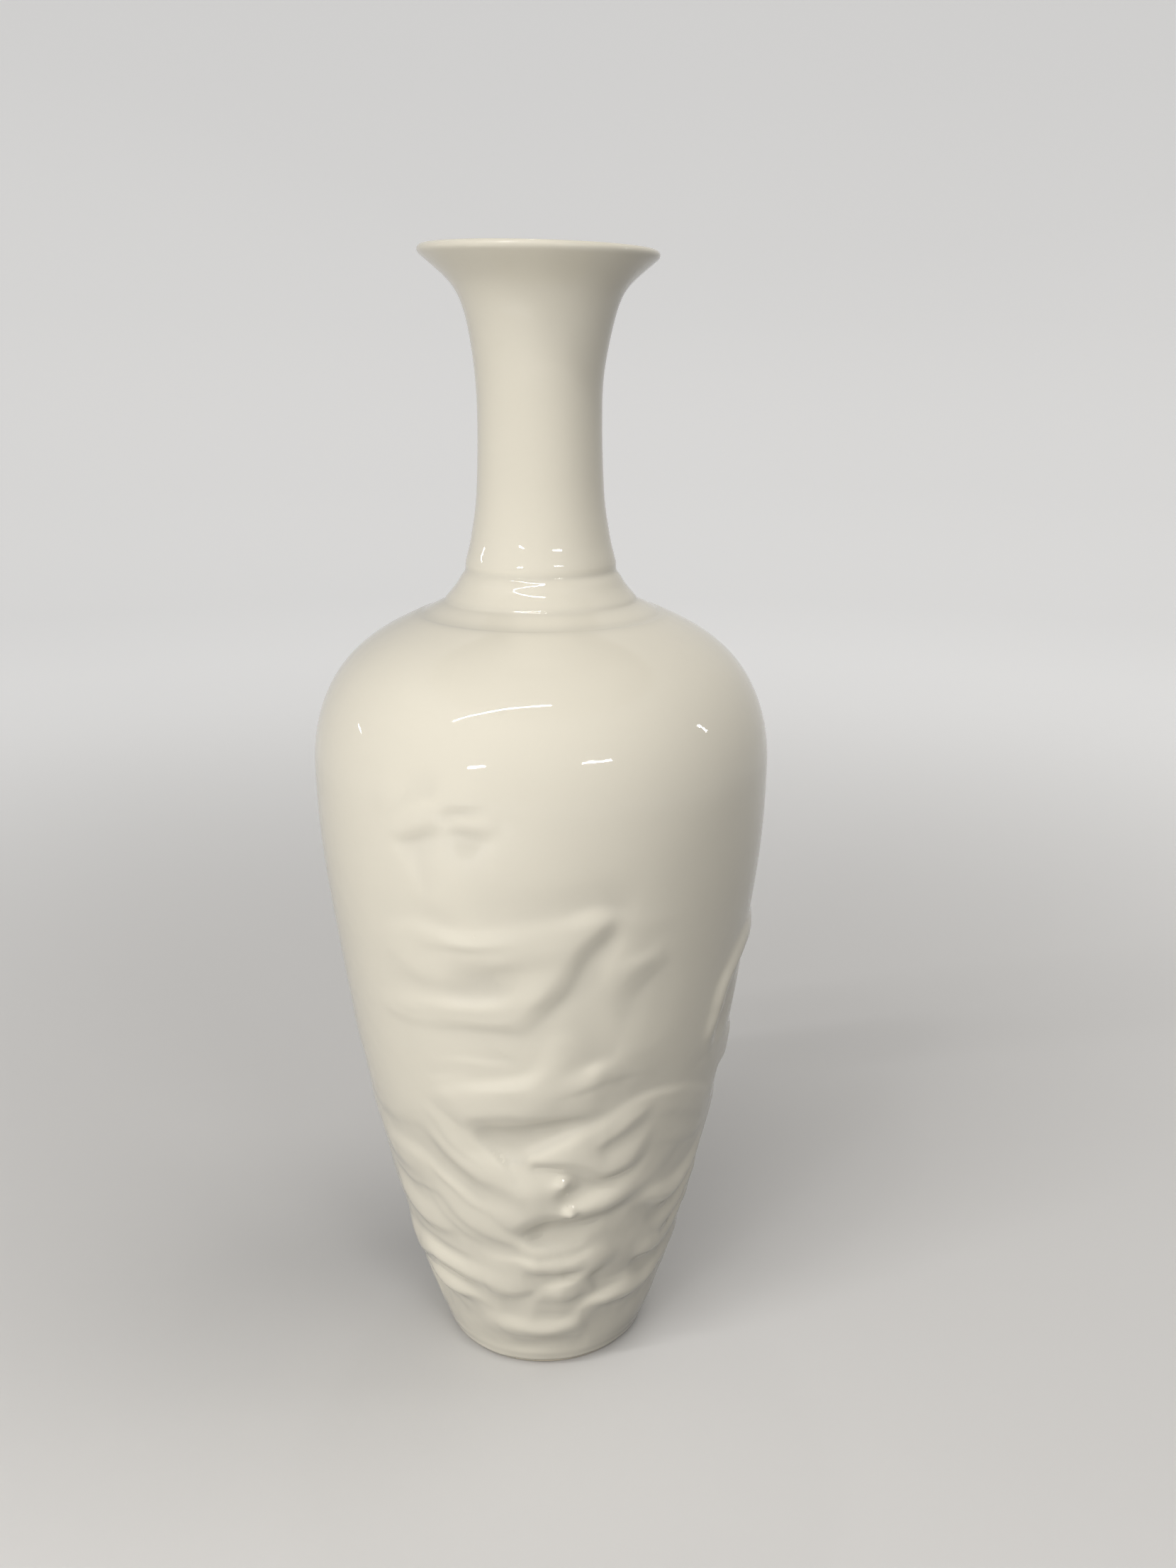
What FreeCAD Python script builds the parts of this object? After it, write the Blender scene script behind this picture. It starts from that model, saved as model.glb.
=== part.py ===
import FreeCAD, Part
import enum
import math
import os
import Sketcher

# A tall white porcelain vase, thrown in sections that are luted together with
# slip: a foot ring, a long tapering lower body, a shoulder, a hollow-curved
# collar and a neck that opens into a flared mouth. One coat of glaze covers
# the outside down to just above the foot, one lines the inside and one covers
# the recess under the base.
# The axis is Z, and the foot stands on the plane z = 0, centred on the origin.

doc = FreeCAD.newDocument("vase")

# Sizes in millimetres. Lengths along the axis stack up from the foot.
SIZES = (
    ("foot_radius", 27.6, "outer edge of the face that the vase stands on"),
    ("foot_width", 4.4, "width of the foot ring"),
    ("foot_height", 5.0, "height of the foot ring, and depth of the recess under the base"),
    ("foot_bevel", 0.5, "bevel on the inner edge of the foot ring"),
    ("foot_spread", 2.5, "how much wider the finished foot is where it meets the lower body"),
    ("glaze_edge_spread", 0.8, "how much wider the finished foot is where its glaze ends"),
    ("bare_height", 1.2, "height of the band at the foot that is left without glaze"),
    ("floor_thickness", 6.0, "clay between the recess and the inside"),
    ("floor_radius", 14.0, "flat middle of the floor inside"),
    ("lower_body_height", 166.6, "from the seam at the foot up to the widest place"),
    ("belly_radius", 60.5, "widest radius of the body"),
    ("body_wall", 4.0, "clay wall of the lower body and the shoulder"),
    ("shoulder_rise", 39.3, "from the widest place up to the turned step"),
    ("step_spread", 7.2, "how far the turned step lies outside the collar"),
    ("step_width", 0.8, "width of that step"),
    ("step_rise", 3.3, "from the step up to the foot of the collar"),
    ("collar_spread", 5.6, "how much wider the collar's foot is than the neck on it"),
    ("collar_rise", 7.2, "height of the collar"),
    ("neck_foot_spread", 3.7, "how much wider the neck's foot is than its narrowest place"),
    ("neck_radius", 15.7, "radius of the neck where it is narrowest"),
    ("neck_length", 75.8, "from the collar up to the middle of the rounded lip"),
    ("neck_wall", 3.0, "clay wall of the neck"),
    ("lip_radius", 30.0, "widest radius of the mouth"),
    ("lip_thickness", 2.4, "thickness of the rounded lip, with its glaze"),
    ("glaze_coat", 0.4, "thickness of the glaze"),
    ("slip_thickness", 0.4, "thickness of the slip in a luted seam"),
)

sheet = doc.addObject("Spreadsheet::Sheet", "Sizes")
sheet.set("A1", "name")
sheet.set("B1", "millimetres")
sheet.set("C1", "what it is")
for row, (name, value, meaning) in enumerate(SIZES, start=2):
    sheet.set(f"A{row}", name)
    sheet.set(f"B{row}", str(value))
    sheet.set(f"C{row}", meaning)
    sheet.setAlias(f"B{row}", name)
doc.recompute()

# A point is its radius and its height, as sums of named sizes, and its tilt:
# how far above the horizontal the wall faces there, in degrees. A stroke is a
# kind of edge with its points: a straight line, a smooth curve, or an arc from
# one end by its centre to the other. An outline is a list of strokes.
LEVEL = 0
UP = 90
DOWN = -90
LINE = "line"
CURVE = "curve"
ARC = "arc"

AXIS = "0"
GROUND = "0"
COAT = "Sizes.glaze_coat"
SLIP = "Sizes.slip_thickness"

CURVE_DEGREE = 3
FULL_TURN = 360


class Spot(enum.IntEnum):
    """The points of a shape, in the order that a sketch numbers them."""
    START = enum.auto()
    END = enum.auto()
    CENTRE = enum.auto()


# A sketch counts its own axes down from -1, and the origin starts the level one
LEVEL_AXIS = -Spot.START
UPRIGHT_AXIS = -Spot.END
ORIGIN = (LEVEL_AXIS, Spot.START)


def between(start, end, share):
    """The value at this share of the way from start to end."""
    return f"({start} + ({end} - {start}) * {share})"


def sunk(points, depth):
    """These points moved into the wall by depth, square to the face."""
    moved = []
    for radius, height, tilt in points:
        inward = AXIS if radius == AXIS else f"({radius} - ({depth}) * cos({tilt} deg))"
        downward = f"({height} - ({depth}) * sin({tilt} deg))"
        moved.append((inward, downward, tilt))
    return moved


def sunk_strokes(strokes, depth):
    """These strokes moved into the wall by depth. An arc keeps its centre."""
    moved = []
    for kind, points in strokes:
        if kind == ARC:
            start, centre, end = points
            moved.append((ARC, sunk([start], depth) + [centre] + sunk([end], depth)))
        else:
            moved.append((kind, sunk(points, depth)))
    return moved


def backwards(strokes):
    """The same strokes, drawn from the last point to the first."""
    return [(kind, points[::-1]) for kind, points in reversed(strokes)]


def closed(strokes):
    """These strokes with a straight line wherever one ends apart from the next."""
    whole = []
    for index, (kind, points) in enumerate(strokes):
        whole.append((kind, points))
        following = strokes[(index + 1) % len(strokes)][1][0]
        if points[-1][:2] != following[:2]:
            whole.append((LINE, [points[-1], following]))
    return whole


def measure(text):
    """What a sum of named sizes comes to."""
    return float(sheet.evalExpression(text.replace("Sizes.", "")))


def spot(point):
    """Where a point lies in its sketch."""
    return FreeCAD.Vector(measure(point[0]), measure(point[1]))


def hold(holds, shape, end, radius, height):
    """Notes that one point of a sketch is bound to its radius and its height."""
    if radius == AXIS:
        on_axis = Sketcher.Constraint("PointOnObject", shape, end, UPRIGHT_AXIS)
        holds.append((on_axis, None))
    else:
        reach = Sketcher.Constraint("DistanceX", *ORIGIN, shape, end, measure(radius))
        holds.append((reach, radius))
    if height == GROUND:
        on_ground = Sketcher.Constraint("PointOnObject", shape, end, LEVEL_AXIS)
        holds.append((on_ground, None))
    elif height is not None:
        rise = Sketcher.Constraint("DistanceY", *ORIGIN, shape, end, measure(height))
        holds.append((rise, height))


def add_line(sketch, holds, points):
    """A straight line, with its start and end as the sketch numbers them."""
    shape = sketch.addGeometry(Part.LineSegment(*[spot(point) for point in points]), False)
    return shape, Spot.START, Spot.END


def add_curve(sketch, holds, points):
    """A smooth curve with its poles at these points, each held but the two ends."""
    degree = min(CURVE_DEGREE, len(points) - 1)
    spans = len(points) - degree
    knots = [step / spans for step in range(spans + 1)]
    counts = [degree + 1] + [1] * (spans - 1) + [degree + 1]
    curve = Part.BSplineCurve()
    curve.buildFromPolesMultsKnots([spot(point) for point in points], counts, knots, False, degree)
    shape = sketch.addGeometry(curve, False)
    sketch.exposeInternalGeometry(shape)
    poles = list(enumerate(points, start=shape + 1))
    for pole, (radius, height, _) in poles[1:-1]:
        hold(holds, pole, Spot.CENTRE, radius, height)
    return shape, Spot.START, Spot.END


def add_arc(sketch, holds, points):
    """An arc by its held centre. The sketch always turns it anticlockwise."""
    start, centre, end = [spot(point) for point in points]
    first = start - centre
    last = end - centre
    angles = [math.atan2(first.y, first.x), math.atan2(last.y, last.x)]
    forward = first.x * last.y > first.y * last.x
    if not forward:
        angles.reverse()
    circle = Part.Circle(centre, FreeCAD.Vector(0, 0, 1), first.Length)
    shape = sketch.addGeometry(Part.ArcOfCircle(circle, *angles), False)
    hold(holds, shape, Spot.CENTRE, points[1][0], points[1][1])
    return (shape, Spot.START, Spot.END) if forward else (shape, Spot.END, Spot.START)


ADD = {LINE: add_line, CURVE: add_curve, ARC: add_arc}


def draw(sketch, strokes):
    """Draws a closed outline and binds every point of it."""
    holds = []
    drawn = [ADD[kind](sketch, holds, points) for kind, points in strokes]
    for index, (kind, points) in enumerate(strokes):
        shape, start, _ = drawn[index]
        previous, _, previous_end = drawn[index - 1]
        holds.append((Sketcher.Constraint("Coincident", previous, previous_end, shape, start), None))
        # An arc's own roundness gives the height of the point where it ends
        after_arc = strokes[index - 1][0] == ARC
        hold(holds, shape, start, points[0][0], None if after_arc else points[0][1])
    first_hold = len(sketch.Constraints)
    sketch.addConstraint([constraint for constraint, _ in holds])
    for number, (_, text) in enumerate(holds, start=first_hold):
        if text is not None:
            sketch.setExpression(f"Constraints[{number}]", text)


def turn(name, *outlines):
    """A piece of the vase, turned about its axis from one or more closed outlines."""
    body = doc.addObject("PartDesign::Body", name)
    body.Label = name
    half_plane = next(plane for plane in body.Origin.OriginFeatures if plane.Role == "XZ_Plane")
    for outline in outlines:
        sketch = body.newObject("Sketcher::SketchObject", name + "_outline")
        sketch.AttachmentSupport = (half_plane, [""])
        sketch.MapMode = "FlatFace"
        draw(sketch, closed(outline))
        turned = body.newObject("PartDesign::Revolution", name + "_turned")
        turned.Profile = sketch
        turned.ReferenceAxis = (sketch, ["V_Axis"])
        turned.Angle = FULL_TURN
        body.Tip = turned
        doc.recompute()
    return body


def slip_ring(name, inner_point, outer_point):
    """The slip in a luted seam, between an inner and an outer point of its lower face."""
    lower = [inner_point, outer_point]
    upper = [(radius, f"({height} + {SLIP})", tilt) for radius, height, tilt in lower]
    return turn(name, [(LINE, lower), (LINE, upper[::-1])])


# Heights where the sections meet. Each upper section starts one thickness of
# slip above the lower one.
foot_top = "Sizes.foot_height"
body_start = f"({foot_top} + {SLIP})"
belly_height = f"({body_start} + Sizes.lower_body_height)"
shoulder_start = f"({belly_height} + {SLIP})"
step_height = f"({shoulder_start} + Sizes.shoulder_rise)"
collar_seat = f"({step_height} + Sizes.step_rise)"
collar_start = f"({collar_seat} + {SLIP})"
collar_top = f"({collar_start} + Sizes.collar_rise)"
neck_start = f"({collar_top} + {SLIP})"
lip_height = f"({neck_start} + Sizes.neck_length)"

# Foot ring: thrown, luted under the body and turned true. The vase stands on
# its bare lower face, and its inner wall bounds the recess.
FOOT_TILT = -22
foot_top_radius = "(Sizes.foot_radius + Sizes.foot_spread)"
recess_radius = "(Sizes.foot_radius - Sizes.foot_width)"
foot_face = [(LINE, [
    ("(Sizes.foot_radius + Sizes.glaze_edge_spread)", "Sizes.bare_height", FOOT_TILT),
    (foot_top_radius, foot_top, LEVEL),
])]
foot_clay = sunk_strokes(foot_face, COAT)
foot_seat = (recess_radius, foot_top, LEVEL)
foot_bottom = (LINE, [
    (f"({recess_radius} + Sizes.foot_bevel)", GROUND, DOWN),
    ("Sizes.foot_radius", GROUND, DOWN),
])
turn("foot_ring", [
    (LINE, [foot_seat, (recess_radius, "Sizes.foot_bevel", LEVEL)]),
    foot_bottom,
    *foot_clay,
])
slip_ring("foot_seam", foot_seat, foot_clay[-1][1][-1])

# Lower body: the tall tapering section, with the floor of the vase. Each row
# is the share of the way out from the foot to the belly, the share of the way
# up, and the tilt.
LOWER_BODY_SHARES = (
    (0.00, 0.000, LEVEL),
    (0.16, 0.075, -21),
    (0.41, 0.240, -17),
    (0.73, 0.520, -11),
    (0.91, 0.770, -6),
    (1.00, 0.900, LEVEL),
    (1.00, 1.000, LEVEL),
)
FIRST_WALL_ROW = 2
FLOOR_CORNER_TILT = -50
lower_face = [
    (between(foot_top_radius, "Sizes.belly_radius", out_share),
     between(body_start, belly_height, up_share), tilt)
    for out_share, up_share, tilt in LOWER_BODY_SHARES
]
lower_clay = sunk(lower_face, COAT)
floor_height = f"({body_start} + Sizes.floor_thickness)"
floor_corner_radius = f"({foot_top_radius} - Sizes.body_wall)"
floor = [(AXIS, floor_height, DOWN), ("Sizes.floor_radius", floor_height, DOWN)]
floor_corner = (floor_corner_radius, floor_height, FLOOR_CORNER_TILT)
lower_wall = sunk(lower_clay[FIRST_WALL_ROW:], "Sizes.body_wall")
lower_bore = [(LINE, floor), (CURVE, [floor[-1], floor_corner] + lower_wall)]
turn("lower_body", [
    (LINE, [(AXIS, body_start, DOWN), lower_clay[0]]),
    (CURVE, lower_clay),
    *backwards(lower_bore),
])
slip_ring("belly_seam", lower_wall[-1], lower_clay[-1])

# Shoulder: thrown apart and luted on at the widest place. A narrow level step
# is turned round its top, outside the collar. Each row is the share of the way
# in from the belly to the step, the share of the rise, and the tilt.
STEP_TILT = 76
CORNER_TILT = 52
SHOULDER_SHARES = (
    (0.00, 0.000, LEVEL),
    (0.00, 0.220, 6),
    (0.14, 0.550, 24),
    (0.49, 0.820, 50),
    (0.79, 0.935, 62),
    (1.00, 1.000, STEP_TILT),
)
neck_foot_radius = "(Sizes.neck_radius + Sizes.neck_foot_spread)"
collar_radius = f"({neck_foot_radius} + Sizes.collar_spread)"
step_radius = f"({collar_radius} + Sizes.step_spread)"
throat_radius = f"({neck_foot_radius} - Sizes.neck_wall)"
shoulder_curve = [
    (between("Sizes.belly_radius", step_radius, in_share),
     between(shoulder_start, step_height, up_share), tilt)
    for in_share, up_share, tilt in SHOULDER_SHARES
]
step_inside = (f"({step_radius} - Sizes.step_width)", step_height, STEP_TILT)
shoulder_face = [
    (CURVE, shoulder_curve),
    (LINE, [shoulder_curve[-1], step_inside]),
    (LINE, [step_inside, (collar_radius, collar_seat, CORNER_TILT)]),
]
shoulder_clay = sunk_strokes(shoulder_face, COAT)
shoulder_top = shoulder_clay[-1][1][-1]
throat = (throat_radius, shoulder_top[1], LEVEL)
shoulder_bore = [(CURVE, sunk(shoulder_clay[0][1][:-1], "Sizes.body_wall") + [throat])]
turn("shoulder", [*shoulder_clay, *backwards(shoulder_bore)])
slip_ring("collar_seam", throat, shoulder_top)

# Collar: a short ring with a hollow curve, between the shoulder and the neck.
# The pull of the curve is a share of the way in and a share of the way up.
COLLAR_PULL_SHARES = (0.80, 0.68)
COLLAR_TILT = 26
collar_face = [(CURVE, [
    (collar_radius, collar_start, CORNER_TILT),
    (between(collar_radius, neck_foot_radius, COLLAR_PULL_SHARES[0]),
     between(collar_start, collar_top, COLLAR_PULL_SHARES[1]), COLLAR_TILT),
    (neck_foot_radius, collar_top, LEVEL),
])]
collar_clay = sunk_strokes(collar_face, COAT)
collar_mouth = sunk([collar_clay[0][1][-1]], "Sizes.neck_wall")[0]
collar_bore = [(LINE, [(throat_radius, collar_clay[0][1][0][1], LEVEL), collar_mouth])]
turn("collar", [*collar_clay, *backwards(collar_bore)])
slip_ring("neck_seam", collar_mouth, collar_clay[0][1][-1])

# Neck: a slender tube that opens into the flared mouth and ends in a rounded
# lip. Each row of the tube is the share of the way out from its narrowest
# radius to its foot, the share of its length, and the tilt.
NECK_SHARES = (
    (1.00, 0.000, LEVEL),
    (0.95, 0.041, 4),
    (0.25, 0.172, 6),
    (0.10, 0.330, 1),
    (0.00, 0.540, LEVEL),
)
# Each row of the flare is the share of the way out from the narrowest radius
# to the lip, the share of the length, the tilt, and how far the wall has
# thinned from the neck to the lip.
FLARE_SHARES = (
    (0.06, 0.726, -6, 0.1),
    (0.26, 0.900, -22, 0.4),
    (0.70, 0.944, -45, 0.8),
)
LIP_TILT = -50
neck_tube = [
    (between("Sizes.neck_radius", neck_foot_radius, out_share),
     between(neck_start, lip_height, up_share), tilt)
    for out_share, up_share, tilt in NECK_SHARES
]
flare = [
    (between("Sizes.neck_radius", "Sizes.lip_radius", out_share),
     between(neck_start, lip_height, up_share), tilt)
    for out_share, up_share, tilt, _ in FLARE_SHARES
]
lip_round = "(Sizes.lip_thickness / 2)"
lip_centre = (f"(Sizes.lip_radius - {lip_round})", lip_height, LIP_TILT)
lip_under = sunk([lip_centre], f"-{lip_round}")[0]
lip_top = (lip_centre[0], f"({lip_height} + {lip_round})", UP)
neck_face = [
    (CURVE, neck_tube + flare + [lip_under]),
    (ARC, [lip_under, lip_centre, lip_top]),
]
neck_clay = sunk_strokes(neck_face, COAT)
lip_clay = f"(Sizes.lip_thickness - 2 * {COAT})"
thinned_flare = [
    sunk([point], between("Sizes.neck_wall", lip_clay, thin_share))[0]
    for point, (_, _, _, thin_share) in zip(sunk(flare, COAT), FLARE_SHARES)
]
bore_end = sunk([lip_under], f"(Sizes.lip_thickness - {COAT})")[0]
neck_bore = [
    (CURVE, sunk(sunk(neck_tube, COAT), "Sizes.neck_wall") + thinned_flare + [bore_end]),
    (ARC, [bore_end, lip_centre, neck_clay[-1][1][-1]]),
]
turn("neck", [*neck_clay, *backwards(neck_bore)])


def coat(name, under_sections, face_sections):
    """A coat of glaze in bands, one over each section and the seam below it."""
    bands = []
    for index, (under, face) in enumerate(zip(under_sections, face_sections)):
        if index:
            lower_under = under_sections[index - 1][-1][1][-1]
            lower_face = face_sections[index - 1][-1][1][-1]
            under = [(LINE, [lower_under, under[0][1][0]]), *under]
            face = [(LINE, [lower_face, face[0][1][0]]), *face]
        bands.append([*under, *backwards(face)])
    return turn(name, *bands)


# Glaze: the outer coat runs from above the bare band of the foot to the top of
# the lip, and the inner coat from there down to the floor.
outer_clay = [foot_clay, [(CURVE, lower_clay)], shoulder_clay, collar_clay, neck_clay]
outer_face = [foot_face, [(CURVE, lower_face)], shoulder_face, collar_face, neck_face]
coat("outer_glaze", outer_clay, outer_face)

lip_inside = sunk([bore_end], COAT)[0]
neck_lining = [*sunk_strokes(neck_bore[:1], COAT), (ARC, [lip_inside, lip_centre, lip_top])]
inner_clay = [lower_bore, shoulder_bore, collar_bore, neck_bore]
inner_face = [*[sunk_strokes(section, COAT) for section in inner_clay[:-1]], neck_lining]
coat("inner_glaze", inner_clay, inner_face)

# The third coat covers the underside of the floor and the wall of the recess
recess_face_radius = f"({recess_radius} - {COAT})"
recess_ceiling = f"({body_start} - {COAT})"
turn("base_glaze", [
    (LINE, [(AXIS, body_start, DOWN), (recess_radius, body_start, DOWN)]),
    (LINE, [(recess_radius, "Sizes.bare_height", LEVEL), (recess_face_radius, "Sizes.bare_height", LEVEL)]),
    (LINE, [(recess_face_radius, recess_ceiling, DOWN), (AXIS, recess_ceiling, DOWN)]),
])

doc.recompute()

pieces = [item for item in doc.Objects if item.TypeId == "PartDesign::Body"]
for item in doc.Objects:
    if "Invalid" in item.State or "Error" in item.State:
        raise RuntimeError(f"{item.Name} failed: {item.State}")
for piece in pieces:
    if piece.Shape.isNull() or not piece.Shape.isValid() or len(piece.Shape.Solids) != 1:
        raise RuntimeError(f"{piece.Label} is not one sound solid")

os.makedirs("parts", exist_ok=True)
for piece in pieces:
    piece.Shape.exportStep(f"parts/{piece.Label}.step")
    box = piece.Shape.BoundBox
    heights = f"z {box.ZMin:.2f} to {box.ZMax:.2f}"
    print(f"{piece.Label}: {piece.Shape.Volume:.1f} mm3, {heights}, radius {box.XMax:.2f}")
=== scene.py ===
import bpy
import numpy as np
from mathutils import Matrix, Vector


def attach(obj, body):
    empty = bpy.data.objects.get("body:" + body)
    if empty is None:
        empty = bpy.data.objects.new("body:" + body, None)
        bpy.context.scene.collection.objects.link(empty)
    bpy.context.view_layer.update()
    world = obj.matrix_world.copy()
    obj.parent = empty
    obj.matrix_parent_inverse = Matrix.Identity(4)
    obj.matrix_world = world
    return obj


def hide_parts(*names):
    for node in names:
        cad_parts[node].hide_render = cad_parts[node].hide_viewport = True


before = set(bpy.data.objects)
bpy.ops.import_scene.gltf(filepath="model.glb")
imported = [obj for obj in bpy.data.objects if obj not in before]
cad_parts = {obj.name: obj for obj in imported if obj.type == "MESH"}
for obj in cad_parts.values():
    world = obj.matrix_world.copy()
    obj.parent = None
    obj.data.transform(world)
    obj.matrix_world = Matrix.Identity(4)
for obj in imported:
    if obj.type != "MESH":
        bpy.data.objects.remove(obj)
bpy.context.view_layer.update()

# ---------------------------------------------------------------------------
# Foot ring: a thrown ring of white porcelain clay, luted under the body and
# turned true. It is wiped bare of glaze where it stands, and fires dry, warm
# and faintly gritty.
# Sizes in this file are in millimetres, as radius and height of an outline.
# ---------------------------------------------------------------------------
MM = 0.001
AROUND = 300

FOOT_RADIUS = 27.6
FOOT_TOP_RADIUS = 30.1
FOOT_HEIGHT = 5.0
RECESS_RADIUS = 23.2
GLAZE_EDGE_RADIUS = 28.4
BARE_HEIGHT = 1.2
GLAZE = 0.4


def turned(name, outline, around=AROUND, shape=None):
    """A closed mesh turned about the axis from an outline of radius and height.

    The outline is a loop, or runs from the axis back to the axis. shape may move the rows: it gets the angle, radius
    and height of every point, and gives back the radius, the height and how far the glaze colour darkens there, as
    pooled glaze and painted shade."""
    outline = np.array(outline, float)
    on_axis = outline[:, 0] < 1e-6
    looped = not on_axis.any()
    rows = outline if looped else outline[~on_axis]
    angle = np.linspace(0, 2 * np.pi, around, endpoint=False)
    angles, radii = np.meshgrid(angle, rows[:, 0])
    heights = np.repeat(rows[:, 1:], around, axis=1)
    pooling_and_shade = np.zeros(radii.shape)
    if shape is not None:
        radii, heights, pooling_and_shade = shape(angles, radii, heights)
    points = np.stack([radii * np.sin(angles), -radii * np.cos(angles), heights], axis=-1)
    points = straightened(points.reshape(-1, 3))
    count = len(rows)
    steps = count if looped else count - 1
    low, side = np.meshgrid(np.arange(steps), np.arange(around), indexing="ij")
    high, next_side = (low + 1) % count, (side + 1) % around
    corners = [low * around + side, low * around + next_side,
               high * around + next_side, high * around + side]
    faces = np.stack(corners, axis=-1).reshape(-1, 4).tolist()
    points = points.tolist()
    if not looped:
        for row, height in ((0, outline[0, 1]), (count - 1, outline[-1, 1])):
            centre = len(points)
            points.append([0, 0, height])
            for index in range(around):
                pair = [row * around + index, row * around + (index + 1) % around]
                faces.append([centre, *(pair[::-1] if row == 0 else pair)])
    mesh = bpy.data.meshes.new(name)
    mesh.from_pydata([Vector(point) * MM for point in points], [], faces)
    mesh.polygons.foreach_set("use_smooth", [True] * len(mesh.polygons))
    pool_shade_amounts = np.zeros(len(points), np.float32)
    pool_shade_amounts[:pooling_and_shade.size] = pooling_and_shade.ravel()
    mesh.attributes.new("pooling_and_shade", "FLOAT", "POINT").data.foreach_set("value", pool_shade_amounts)
    piece = bpy.data.objects.new(name, mesh)
    bpy.context.scene.collection.objects.link(piece)
    return piece


WARP_LOW = 262
WARP_HIGH = 296
LIP_CENTRE_HEIGHT = 298.8
WARP_LEAN = 0.023
MOUTH_LOW = 278
MOUTH_HIGH = 297
MOUTH_RISE = 1.3
FLARE_LOW = 266
FLARE_MIDDLE = 285
FLARE_HIGH = 299
FLARE_SIDE = 1.0


def straightened(points):
    """Draws the mouth up a little, leans it as it warped in the kiln, and swells its right side."""
    rise = np.clip((points[:, 2] - WARP_LOW) / (WARP_HIGH - WARP_LOW), 0, 1)
    lean = WARP_LEAN * rise * rise * (3 - 2 * rise)
    moved = points.copy()
    moved[:, 0] += lean * (points[:, 2] - LIP_CENTRE_HEIGHT)
    drawn = np.clip((points[:, 2] - MOUTH_LOW) / (MOUTH_HIGH - MOUTH_LOW), 0, 1)
    moved[:, 2] += MOUTH_RISE * drawn * drawn * (3 - 2 * drawn) - lean * points[:, 0]
    swell = np.minimum((points[:, 2] - FLARE_LOW) / (FLARE_MIDDLE - FLARE_LOW),
                       (FLARE_HIGH - points[:, 2]) / (FLARE_HIGH - FLARE_MIDDLE)).clip(0, 1)
    to_right = points[:, 0].clip(0) / np.maximum(np.hypot(points[:, 0], points[:, 1]), 1)
    moved[:, 0] += FLARE_SIDE * swell * swell * (3 - 2 * swell) * to_right
    return moved


def new_material(name):
    """An empty node material and a function that adds and links its nodes."""
    material = bpy.data.materials.new(name)
    material.use_nodes = True
    tree = material.node_tree
    tree.nodes.clear()

    def node(kind, inputs=None, **settings):
        made = tree.nodes.new(kind)
        for key, value in settings.items():
            setattr(made, key, value)
        for key, value in (inputs or {}).items():
            if isinstance(value, bpy.types.NodeSocket):
                tree.links.new(value, made.inputs[key])
            else:
                made.inputs[key].default_value = value
        return made

    return material, node


def dry_clay(name, colour, dark):
    """Fired clay with no glaze: matt, faintly gritty, with small dark specks."""
    material, node = new_material(name)
    place = node("ShaderNodeTexCoord").outputs["Object"]
    cloud = node("ShaderNodeTexNoise", {"Vector": place, "Scale": 60, "Detail": 4}).outputs["Fac"]
    grit = node("ShaderNodeTexNoise", {"Vector": place, "Scale": 2600, "Detail": 2}).outputs["Fac"]
    speck = node("ShaderNodeTexVoronoi", {"Vector": place, "Scale": 420}).outputs["Distance"]
    dots = node("ShaderNodeMapRange", {"Value": speck, "From Min": 0.05, "From Max": 0.12,
                                       "To Min": 0.6, "To Max": 0}).outputs["Result"]
    tone = node("ShaderNodeMapRange", {"Value": cloud, "From Min": 0.35, "From Max": 0.65}).outputs["Result"]
    base = node("ShaderNodeMix", {0: tone, 6: colour, 7: dark}, data_type="RGBA").outputs[2]
    flecked = node("ShaderNodeMix", {0: dots, 6: base, 7: (0.30, 0.24, 0.17, 1)}, data_type="RGBA").outputs[2]
    dry = node("ShaderNodeMapRange", {"Value": grit, "To Min": 0.62, "To Max": 0.86}).outputs["Result"]
    bump = node("ShaderNodeBump", {"Height": grit, "Strength": 0.35, "Distance": 0.0002}).outputs["Normal"]
    shader = node("ShaderNodeBsdfPrincipled", {"Base Color": flecked, "Roughness": dry, "Normal": bump})
    node("ShaderNodeOutputMaterial", {"Surface": shader.outputs["BSDF"]})
    return material


bare_clay = dry_clay("bare_porcelain_clay", (0.74, 0.68, 0.57, 1), (0.68, 0.61, 0.49, 1))
foot_ring = turned("foot_ring_turned", [
    (RECESS_RADIUS, FOOT_HEIGHT), (RECESS_RADIUS, 2.5), (RECESS_RADIUS, 0.6), (RECESS_RADIUS + 0.15, 0.2),
    (RECESS_RADIUS + 0.6, 0.0), (25.4, 0.0), (26.9, 0.0), (27.4, 0.08), (FOOT_RADIUS, 0.3), (27.8, 0.7),
    (28.0, 1.25), (28.6, 2.7), (29.7, FOOT_HEIGHT), (26.5, FOOT_HEIGHT),
])
foot_ring.data.materials.append(bare_clay)
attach(foot_ring, "root")
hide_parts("foot_ring")

# ---------------------------------------------------------------------------
# Slip under the floor: a thin coat of liquid clay that holds the foot ring to
# the body. It fires as one with them, between the clay and the glaze.
# ---------------------------------------------------------------------------
slip_clay = dry_clay("fired_slip", (0.70, 0.66, 0.57, 1), (0.66, 0.61, 0.52, 1))


def refinish(node_name, material):
    """Gives a piece from the frame a better finish."""
    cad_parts[node_name].data.materials.clear()
    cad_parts[node_name].data.materials.append(material)


refinish("foot_seam", slip_clay)

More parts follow.
